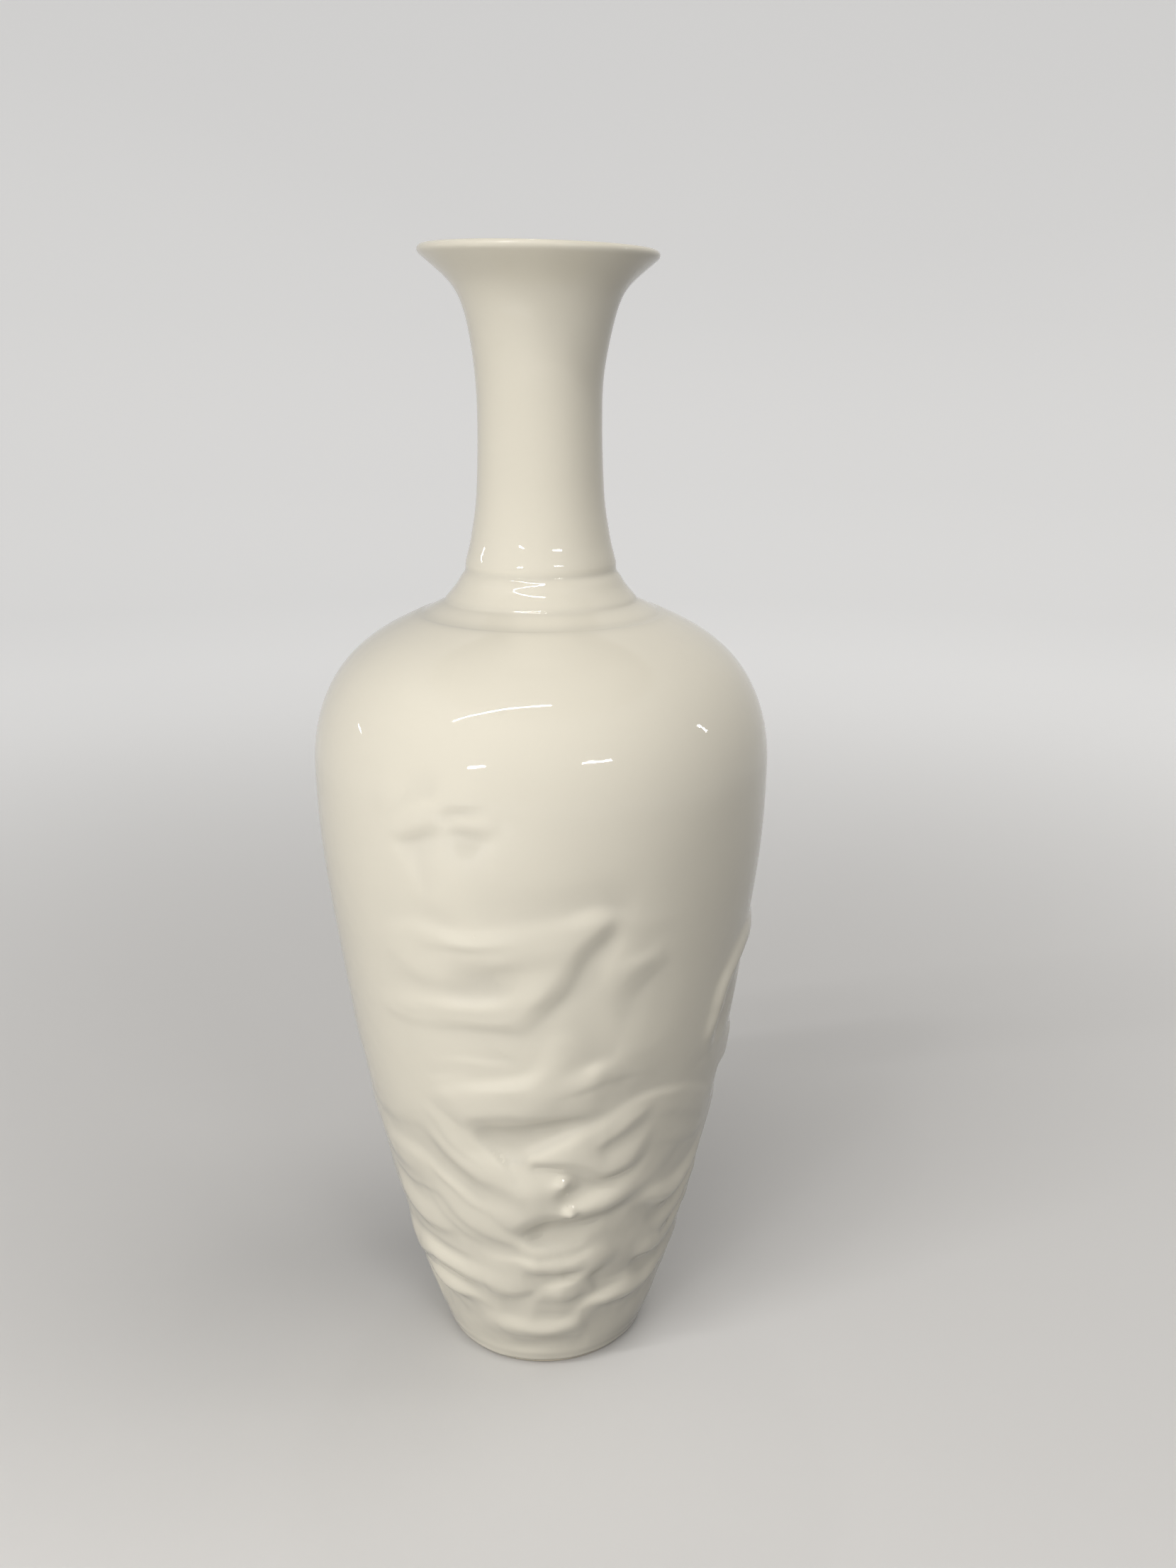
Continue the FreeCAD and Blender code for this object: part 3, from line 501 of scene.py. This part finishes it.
def uneven(angles, heights, cell, seed):
    """A smooth random field from -1 to 1, with bumps about as wide as the cell."""
    columns = round(2 * np.pi * BELLY_RADIUS * 0.75 / cell)
    across, up = angles / (2 * np.pi) * columns, heights / cell
    lattice = np.random.default_rng(seed).uniform(-1, 1, (int(up.max()) + 3, columns))
    left, low = np.floor(across).astype(int), np.floor(up).astype(int)
    side, rise = eased(across - left), eased(up - low)
    corners = [[lattice[low + row, (left + column) % columns] for column in (0, 1)] for row in (0, 1)]
    below, above = (pair[0] * (1 - side) + pair[1] * side for pair in corners)
    return below * (1 - rise) + above * rise


def carved(angles, heights):
    """How far the carving stands out of the plain face, in millimetres."""
    depth = np.zeros(angles.shape)
    degrees = np.degrees(angles) + WAVER_DEGREES * uneven(angles, heights, WAVER_CELL, 1)
    wavered = heights + WAVER_HEIGHT * uneven(angles, heights, WAVER_CELL, 2)
    for centre, stretch in REPEATS:
        around = (degrees - centre + 180) % 360 - 180
        cut(depth, FRONT_STROKES, around, wavered, stretch)
        depth += beaded(around, heights, stretch)
    cut(depth, SIDE_STROKES, (degrees + 180) % 360 - 180, wavered)
    depth *= 1 + WAVER_DEPTH * uneven(angles, heights, 2 * WAVER_CELL, 3)
    tooled = sum(height * uneven(angles, heights, cell, int(4 + cell)) for cell, height in TOOLING)
    depth += tooled * np.clip(np.abs(depth) / 0.4, 0.25, 1) * eased((CARVING_TOP - heights) / 25)
    return depth * eased((heights - CARVING_FOOT) / CARVING_FADE)


def carved_shape(angles, radii, heights):
    """Moves the points of the lower body's face by the carving, and leaves the rest."""
    on_face = radii > wall_radius(heights) - 0.5 * BODY_WALL
    return radii + np.where(on_face, carved(angles, heights), 0), heights, np.zeros(radii.shape)


lower_clay = inward(lower_face, GLAZE)
lower_wall = inward(lower_clay, BODY_WALL)
bore = [(0, FLOOR_TOP), (FLOOR_RADIUS * 0.5, FLOOR_TOP), *smooth_curve(
    [(FLOOR_RADIUS, FLOOR_TOP), (26.1, FLOOR_TOP), *lower_wall[70::60]], 60), lower_wall[-1]]
clay_rows = even_rows(lower_clay, 1.0)
lower_body = turned("lower_body_carved", [(0, BODY_START), (15, BODY_START), *clay_rows, *bore[::-1]],
                    shape=carved_shape)
body_clay = dry_clay("fired_porcelain_clay", (0.76, 0.73, 0.65, 1), (0.72, 0.68, 0.60, 1))
lower_body.data.materials.append(body_clay)
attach(lower_body, "root")
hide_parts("lower_body")

# ---------------------------------------------------------------------------
# Slip at the widest place: it holds the shoulder to the lower body, under the
# glaze on both sides.
# ---------------------------------------------------------------------------
refinish("belly_seam", slip_clay)

# ---------------------------------------------------------------------------
# Shoulder: thrown apart, luted on upside down and turned true, with a narrow
# step round its top.
# ---------------------------------------------------------------------------
SHOULDER_START = 172.4
STEP_RADIUS = 32.2
STEP_HEIGHT = 211.7
STEP_INSIDE = (31.4, 211.7)
COLLAR_SEAT = (25.0, 215.0)
SHOULDER_SHARES = ((0.00, 0.000), (0.00, 0.220), (0.14, 0.550), (0.49, 0.820), (0.79, 0.935), (1.00, 1.000))
shoulder_face = smooth_curve(between((BELLY_RADIUS, SHOULDER_START), (STEP_RADIUS, STEP_HEIGHT),
                                     SHOULDER_SHARES), 160)
refinish("shoulder", body_clay)

# ---------------------------------------------------------------------------
# Slip, collar and slip: a short thrown ring with a hollow curve, luted between
# the shoulder and the neck.
# ---------------------------------------------------------------------------
COLLAR_START = (25.0, 215.4)
NECK_FOOT = (19.4, 222.6)
COLLAR_SHARES = ((0.00, 0.000), (0.80, 0.680), (1.00, 1.000))
collar_face = smooth_curve(between(COLLAR_START, NECK_FOOT, COLLAR_SHARES), 40)
refinish("collar_seam", slip_clay)
refinish("collar", body_clay)
refinish("neck_seam", slip_clay)

# ---------------------------------------------------------------------------
# Neck: a slender thrown tube that opens into the flared mouth and ends in a
# rounded lip. The mouth leaned a little in the kiln.
# ---------------------------------------------------------------------------
NECK_START = 223.0
NECK_RADIUS = 15.7
NECK_FOOT_RADIUS = 19.4
NECK_WALL = 3.0
LIP_RADIUS = 30.0
LIP_ROUND = 1.2
LIP_UNDER_ANGLE = -50
NECK_SHARES = ((1.00, 0.000), (0.95, 0.041), (0.25, 0.172), (0.10, 0.330), (0.00, 0.540))
FLARE_SHARES = ((0.06, 0.726), (0.26, 0.900), (0.70, 0.944))


def lip_arc(first, last, lip_round, count=12):
    """Part of the rounded lip, from one angle to another."""
    turn = np.radians(np.linspace(first, last, count))
    return np.stack([LIP_RADIUS - LIP_ROUND + lip_round * np.cos(turn),
                     LIP_CENTRE_HEIGHT + lip_round * np.sin(turn)], axis=-1)


lip_under = lip_arc(LIP_UNDER_ANGLE, 90, LIP_ROUND)[0]
neck_face = smooth_curve([
    *between((NECK_RADIUS, NECK_START), (NECK_FOOT_RADIUS, LIP_CENTRE_HEIGHT), NECK_SHARES),
    *between((NECK_RADIUS, NECK_START), (LIP_RADIUS, LIP_CENTRE_HEIGHT), FLARE_SHARES), lip_under], 300)
wall_left = np.interp(neck_face[:, 1], (275, 288, 297), (NECK_WALL, 2.4, 2 * LIP_ROUND - 2 * GLAZE))
neck_clay = inward(neck_face, GLAZE)
neck_bore = inward(neck_clay, wall_left)
neck = turned("neck_thrown", [*even_rows(neck_clay, 1.2), *lip_arc(-40, 220, LIP_ROUND - GLAZE, 16),
                              *even_rows(neck_bore, 1.5)[::-1]], around=160)
neck.data.materials.append(body_clay)
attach(neck, "root")
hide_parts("neck")

# ---------------------------------------------------------------------------
# Outer glaze: one coat of warm white glaze over the whole outside, from just above the foot to the top of the lip. It
# softens every turned edge, is coloured darker in the hollows and the turned rings, partly as glaze that pools there
# and partly as painted shade, and ends in a rolled edge that was wiped by hand.
# ---------------------------------------------------------------------------
SOFTENING = 0.45
BODY_ROW = 0.85
UPPER_ROW = 1.6
RING_ROW = 0.4


def softened(outline, reach):
    """The outline with its corners rounded as glaze rounds them."""
    fine = even_rows(outline, 0.1)
    span = np.arange(-12, 13) * 0.1
    weight = np.exp(-(span / reach) ** 2)
    weight /= weight.sum()
    padded = np.vstack([np.repeat(fine[:1], 12, 0), fine, np.repeat(fine[-1:], 12, 0)])
    soft = np.stack([np.convolve(padded[:, axis], weight, "valid") for axis in (0, 1)], axis=-1)
    soft[0], soft[-1] = fine[0], fine[-1]
    return soft


glaze_face = softened(np.vstack([[(GLAZE_EDGE_RADIUS, BARE_HEIGHT), (FOOT_TOP_RADIUS, FOOT_HEIGHT)],
                                 lower_face, shoulder_face, [STEP_INSIDE, COLLAR_SEAT], collar_face,
                                 neck_face, lip_arc(LIP_UNDER_ANGLE, 90, LIP_ROUND)]), SOFTENING)


def rows_of(outline, *bands):
    """Rows picked along an outline, a set step apart in each band of heights."""
    lengths = np.concatenate([[0], np.cumsum(np.linalg.norm(np.diff(outline, axis=0), axis=1))])
    picked = [0]
    for index, height in enumerate(outline[:, 1]):
        step = next(step for top, step in bands if height <= top)
        if lengths[index] - lengths[picked[-1]] >= step:
            picked.append(index)
    picked.append(len(outline) - 1)
    return outline[picked]


outer_rows = rows_of(glaze_face, (3, 0.3), (6, 0.7), (168, BODY_ROW), (209, UPPER_ROW), (225, RING_ROW),
                     (285, 2.0), (296, 1.0), (301, 0.3))
under_rows = rows_of(inward(glaze_face, GLAZE), (6, 2), (168, 4), (209, 4), (225, 1.5), (285, 5), (301, 1.0))


def edge_wave(angles):
    """How far the wiped edge of the glaze wanders up and down."""
    return 0.16 * np.sin(3 * angles + 0.6) + 0.10 * np.sin(7 * angles + 2.1) + 0.05 * np.sin(17 * angles)


# Soft rings that the thrower's fingers left at the collar and the foot of the neck: height, reach, swell.
# The glaze pools in the turned rings, where its colour is darkened as pooled glaze and as painted shade in their
# creases, and its lower edge is rolled: height over the bare foot, reach, swell
THROWN_RINGS = ((221.0, 1.6, 0.34), (225.0, 1.7, 0.28), (230.0, 2.2, -0.1))
TURNED_RINGS = (211.9, 215.2, 222.9)
EDGE_ROLL = (0.7, 0.6, 0.14)
OUT_OF_ROUND = 0.05
POOL_SHADE_REACH = 0.8


def glazed_shape(angles, radii, heights):
    """The coat's form: the carving under it, its rolled edge and its slight unevenness."""
    is_low = np.clip((4.5 - heights) / 3.3, 0, 1)
    moved = heights + edge_wave(angles) * is_low
    out_of_round = OUT_OF_ROUND * np.sin(2 * angles + 0.05 * heights) * np.clip(heights / 60, 0, 1)
    over, reach, swell = EDGE_ROLL
    roll = swell * np.exp(-((heights - BARE_HEIGHT - over) / reach) ** 2)
    depth = carved(angles, heights)
    thrown = sum(swell * np.exp(-((heights - middle) / reach) ** 2) for middle, reach, swell in THROWN_RINGS)
    # Painted shade: the glaze colour darkens in the carving's hollows and at the turned rings, partly as glaze that
    # pools there and partly as painted shade in these recesses and creases.
    ring_pool_shade = sum(np.exp(-((heights - ring) / POOL_SHADE_REACH) ** 2) for ring in TURNED_RINGS)
    pooling_and_shade = np.clip(np.clip(-depth / POOL_SHADE_REACH, 0, 1) + 0.8 * ring_pool_shade, 0, 1)
    return radii + depth + roll + out_of_round + thrown, moved, pooling_and_shade


outer_glaze = turned("outer_glaze_coat", [*outer_rows, *under_rows[::-1]], shape=glazed_shape)


def glaze_finish(name, colour, pooled_and_shaded):
    """Fired gloss glaze: clear, a little cloudy, darker where it pools and where shade is painted into the hollows and
    rings, with a faint ripple.
    """
    material, node = new_material(name)
    place = node("ShaderNodeTexCoord").outputs["Object"]
    cloud = node("ShaderNodeTexNoise", {"Vector": place, "Scale": 22, "Detail": 5, "Roughness": 0.55}).outputs["Fac"]
    ripple = node("ShaderNodeTexNoise", {"Vector": place, "Scale": 320, "Detail": 2}).outputs["Fac"]
    pin = node("ShaderNodeTexVoronoi", {"Vector": place, "Scale": 150}).outputs["Distance"]
    pinholes = node("ShaderNodeMapRange", {"Value": pin, "From Min": 0.02, "From Max": 0.06}).outputs["Result"]
    # Painted shade: the pooled colour darkens the hollows and the turned rings, partly as pooled glaze and partly as
    # painted shade.
    pool_and_shade = node("ShaderNodeAttribute", attribute_name="pooling_and_shade").outputs["Fac"]
    tone = node("ShaderNodeMapRange", {"Value": cloud, "From Min": 0.3, "From Max": 0.7,
                                       "To Min": 0, "To Max": 0.22}).outputs["Result"]
    pool_shade_and_cloud = node("ShaderNodeMath", {0: pool_and_shade, 1: tone}, operation="ADD", use_clamp=True).outputs[0]
    base = node("ShaderNodeMix", {0: pool_shade_and_cloud, 6: colour, 7: pooled_and_shaded}, data_type="RGBA").outputs[2]
    gloss = node("ShaderNodeMapRange", {"Value": cloud, "From Min": 0.3, "From Max": 0.7,
                                        "To Min": 0.02, "To Max": 0.04}).outputs["Result"]
    low = node("ShaderNodeBump", {"Height": ripple, "Strength": 0.05, "Distance": 0.0004}).outputs["Normal"]
    bump = node("ShaderNodeBump", {"Height": pinholes, "Strength": 0.25, "Distance": 0.0001,
                                   "Normal": low}).outputs["Normal"]
    shader = node("ShaderNodeBsdfPrincipled", {"Base Color": base, "Roughness": gloss, "Normal": bump,
                                               "IOR": 1.5, "Specular IOR Level": 0.5})
    node("ShaderNodeOutputMaterial", {"Surface": shader.outputs["BSDF"]})
    return material


# The second colour is the darker one of pooled glaze and painted shade in the carving's hollows and turned rings.
white_glaze = glaze_finish("warm_white_glaze", (0.80, 0.765, 0.665, 1), (0.71, 0.68, 0.595, 1))
outer_glaze.data.materials.append(white_glaze)
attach(outer_glaze, "root")
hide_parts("outer_glaze")

# ---------------------------------------------------------------------------
# Inner glaze: poured in, swirled and poured out, so it lines the neck, the
# body and the floor, and meets the outer coat on top of the lip.
# ---------------------------------------------------------------------------
shoulder_wall = inward(inward(shoulder_face, GLAZE), BODY_WALL)
THROAT = (16.4, 214.7)
clay_inside = np.vstack([
    lower_wall[70:], smooth_curve([*shoulder_wall[:130:20], THROAT], 60), [(16.4, 215.1)],
    neck_bore, lip_arc(220, 90, LIP_ROUND - GLAZE)])
lining_under = np.vstack([smooth_curve([(0, FLOOR_TOP), (FLOOR_RADIUS, FLOOR_TOP), (24.5, FLOOR_TOP)], 12),
                          clay_inside])
lining_face = inward(softened(lining_under, 1.0), GLAZE)
lining_face[0, 0] = 0
inner_glaze = turned("inner_glaze_lining", [
    *even_rows(lining_under, 3.0), *lip_arc(90, 220, LIP_ROUND, 10), *rows_of(
        lining_face, (285, 2.5), (301, 0.8))[::-1]], around=160)
inner_white = glaze_finish("inner_white_glaze", (0.79, 0.76, 0.68, 1), (0.71, 0.68, 0.60, 1))
inner_glaze.data.materials.append(inner_white)
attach(inner_glaze, "root")
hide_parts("inner_glaze")

# ---------------------------------------------------------------------------
# Base glaze: brushed into the recess under the foot, where it pools in the
# corner.
# ---------------------------------------------------------------------------
base_white = glaze_finish("base_white_glaze", (0.78, 0.75, 0.67, 1), (0.70, 0.67, 0.60, 1))
refinish("base_glaze", base_white)

# ---------------------------------------------------------------------------
# Floor: a wide plain pale board that sweeps up at its rim. The camera and the
# glaze see it paler than it is, so that the vase gets no light from below.
# ---------------------------------------------------------------------------
# Radius and height of the board's rows, in metres
BOARD_ROWS = ((0.05, 0), (0.4, 0), (0.9, 0), (1.2, 0.02), (1.45, 0.12), (1.62, 0.32), (1.7, 0.6), (1.7, 2.4))
BOARD_SIDES = 96
BOARD_DULL = (0.10, 0.10, 0.10, 1)
BOARD_PALE = (0.78, 0.78, 0.785, 1)
BOARD_GLOW_START = 0.1
BOARD_GLOW_END = 1.0
BOARD_GLOW = 0.42
ROOM_COLOUR = (1.0, 0.99, 0.97, 1)
ROOM_STRENGTH = 0.05
board_mesh = bpy.data.meshes.new("board")
board_points = [(radius * np.sin(turn), -radius * np.cos(turn), height) for radius, height in BOARD_ROWS
                for turn in np.linspace(0, 2 * np.pi, BOARD_SIDES, endpoint=False)]
board_faces = []
for low in range(0, (len(BOARD_ROWS) - 1) * BOARD_SIDES, BOARD_SIDES):
    for side in range(BOARD_SIDES):
        next_side = (side + 1) % BOARD_SIDES
        board_faces.append((low + side, low + next_side, low + BOARD_SIDES + next_side, low + BOARD_SIDES + side))
board_faces.append(tuple(range(BOARD_SIDES))[::-1])
board_mesh.from_pydata(board_points, [], board_faces)
board_mesh.polygons.foreach_set("use_smooth", [True] * len(board_mesh.polygons))
board = bpy.data.objects.new("board", board_mesh)
bpy.context.scene.collection.objects.link(board)
board_paint, paint_node = new_material("pale_board")
ray = paint_node("ShaderNodeLightPath").outputs
seen = paint_node("ShaderNodeMath", {0: ray["Is Camera Ray"], 1: ray["Is Glossy Ray"]}, operation="MAXIMUM")
seen = paint_node("ShaderNodeMath", {0: seen.outputs[0], 1: ray["Is Transmission Ray"]}, operation="MAXIMUM")
board_tone = paint_node("ShaderNodeMix", {0: seen.outputs[0], 6: BOARD_DULL, 7: BOARD_PALE}, data_type="RGBA")
board_place = paint_node("ShaderNodeTexCoord").outputs["Object"]
board_away = paint_node("ShaderNodeVectorMath", {0: board_place}, operation="LENGTH").outputs["Value"]
board_glow = paint_node("ShaderNodeMapRange", {
    "Value": board_away, "From Min": BOARD_GLOW_START, "From Max": BOARD_GLOW_END, "To Min": 0,
    "To Max": BOARD_GLOW}, interpolation_type="SMOOTHSTEP").outputs["Result"]
board_glow = paint_node("ShaderNodeMath", {0: board_glow, 1: seen.outputs[0]}, operation="MULTIPLY").outputs[0]
board_shader = paint_node("ShaderNodeBsdfPrincipled", {"Base Color": board_tone.outputs[2], "Roughness": 0.9,
                                                       "Specular IOR Level": 0.1, "Emission Color": (1, 1, 1, 1),
                                                       "Emission Strength": board_glow})
paint_node("ShaderNodeOutputMaterial", {"Surface": board_shader.outputs["BSDF"]})
board_mesh.materials.append(board_paint)

world = bpy.data.worlds.new("room")
world.use_nodes = True
world.node_tree.nodes["Background"].inputs["Color"].default_value = ROOM_COLOUR
world.node_tree.nodes["Background"].inputs["Strength"].default_value = ROOM_STRENGTH
bpy.context.scene.world = world

# ---------------------------------------------------------------------------
# Light: wide soft lamps round the vase, brightest from above and the left, that
# the glaze doesn't mirror, and thin tubes that only make its bright streaks.
# Directions are degrees round the vase and up; lengths are in metres.
# ---------------------------------------------------------------------------
LAMP_AIM = 0.18
LAMP_COLOUR = (1, 0.97, 0.92)
TUBE_COLOUR = (1, 0.98, 0.95)
TUBE_DISTANCE = 1.2
MIRROR_OUT = 0.05
MIRROR_HEIGHT = 0.19


def towards(azimuth, elevation):
    """The direction from the vase to this many degrees round it and up."""
    turn, rise = np.radians(azimuth), np.radians(elevation)
    return Vector((np.sin(turn) * np.cos(rise), -np.cos(turn) * np.cos(rise), np.sin(rise)))


def panel(name, size, power, colour, place, facing):
    """A rectangular area light at this place, turned this way."""
    light = bpy.data.lights.new(name, "AREA")
    light.shape = "RECTANGLE"
    light.size, light.size_y = size
    light.energy = power
    light.color = colour
    body = bpy.data.objects.new(name, light)
    body.location = place
    body.rotation_mode = "QUATERNION"
    body.rotation_quaternion = facing
    bpy.context.scene.collection.objects.link(body)
    return body


def lamp(name, azimuth, elevation, distance, size, power):
    """A wide lamp that faces the vase from this direction and isn't mirrored."""
    away = towards(azimuth, elevation)
    body = panel(name, size, power, LAMP_COLOUR, Vector((0, 0, LAMP_AIM)) + away * distance,
                 away.to_track_quat("Z", "Y"))
    body.visible_glossy = False


def tube(name, seen_at, start, end, width, glow):
    """A thin bright tube that the glaze mirrors, from one direction to the other.

    seen_at is how far round the vase its streak lies."""
    turn = np.radians(seen_at)
    spot = Vector((MIRROR_OUT * np.sin(turn), -MIRROR_OUT * np.cos(turn), MIRROR_HEIGHT))
    first, last = (spot + TUBE_DISTANCE * towards(*end_of_tube) for end_of_tube in (start, end))
    run = last - first
    back = ((first + last) / 2 - spot).normalized()
    side = (run - back * run.dot(back)).normalized()
    facing = Matrix((side, back.cross(side), back)).transposed().to_quaternion()
    body = panel(name, (run.length, width), glow * np.pi * run.length * width, TUBE_COLOUR, (first + last) / 2, facing)
    body.visible_camera = False


lamp("ceiling_light", -6, 76, 1.3, (0.9, 0.9), 2.5)
lamp("window_light", -45, 16, 1.3, (0.9, 0.7), 2.3)
lamp("front_light", -12, 14, 1.3, (0.9, 0.7), 2.3)
lamp("low_light", -36, -8, 0.6, (0.5, 0.2), 1.5)
lamp("right_light", 62, 35, 1.3, (0.9, 0.9), 2.5)
lamp("right_upper_light", 95, 65, 1.3, (0.6, 0.6), 3.5)
lamp("rear_light", 170, 40, 1.4, (0.9, 0.9), 1.2)
tube("ceiling_tube_left", -20, (-54, 42), (-30, 59), 0.018, 60)
tube("ceiling_tube_right", -4, (-36, 57), (12, 65.5), 0.018, 60)
tube("low_tube_left", -14, (-35, 16), (-26, 17), 0.018, 80)
tube("low_tube_right", 14, (22, 19), (37, 18), 0.018, 80)
tube("side_tube_left", -50, (-107, 12), (-102, 10), 0.02, 30)
tube("side_tube_right", 47, (93, 21), (96, 15), 0.02, 30)
tube("rear_tube", 0, (-169, 69), (-178, 63), 0.02, 30)

# ---------------------------------------------------------------------------
# Camera: hand held, a little above the shoulder and close, as in the
# photograph. It looks down and leans a little.
# ---------------------------------------------------------------------------
CAMERA_PLACE = (0.0124, -0.37906, 0.2763)
CAMERA_DOWN = 16.483
CAMERA_LEAN = 0.0023
CAMERA_LENS = 33.363
CAMERA_SENSOR = 36
camera_data = bpy.data.cameras.new("camera")
camera_data.sensor_fit = "VERTICAL"
camera_data.sensor_height = CAMERA_SENSOR
camera_data.sensor_width = CAMERA_SENSOR
camera_data.lens = CAMERA_LENS
camera = bpy.data.objects.new("camera", camera_data)
camera.location = CAMERA_PLACE
camera.rotation_euler = (np.radians(90 - CAMERA_DOWN), 0, 0)
camera.rotation_euler.rotate_axis("Z", CAMERA_LEAN)
bpy.context.scene.collection.objects.link(camera)
bpy.context.scene.camera = camera
bpy.context.scene.view_settings.view_transform = "Standard"
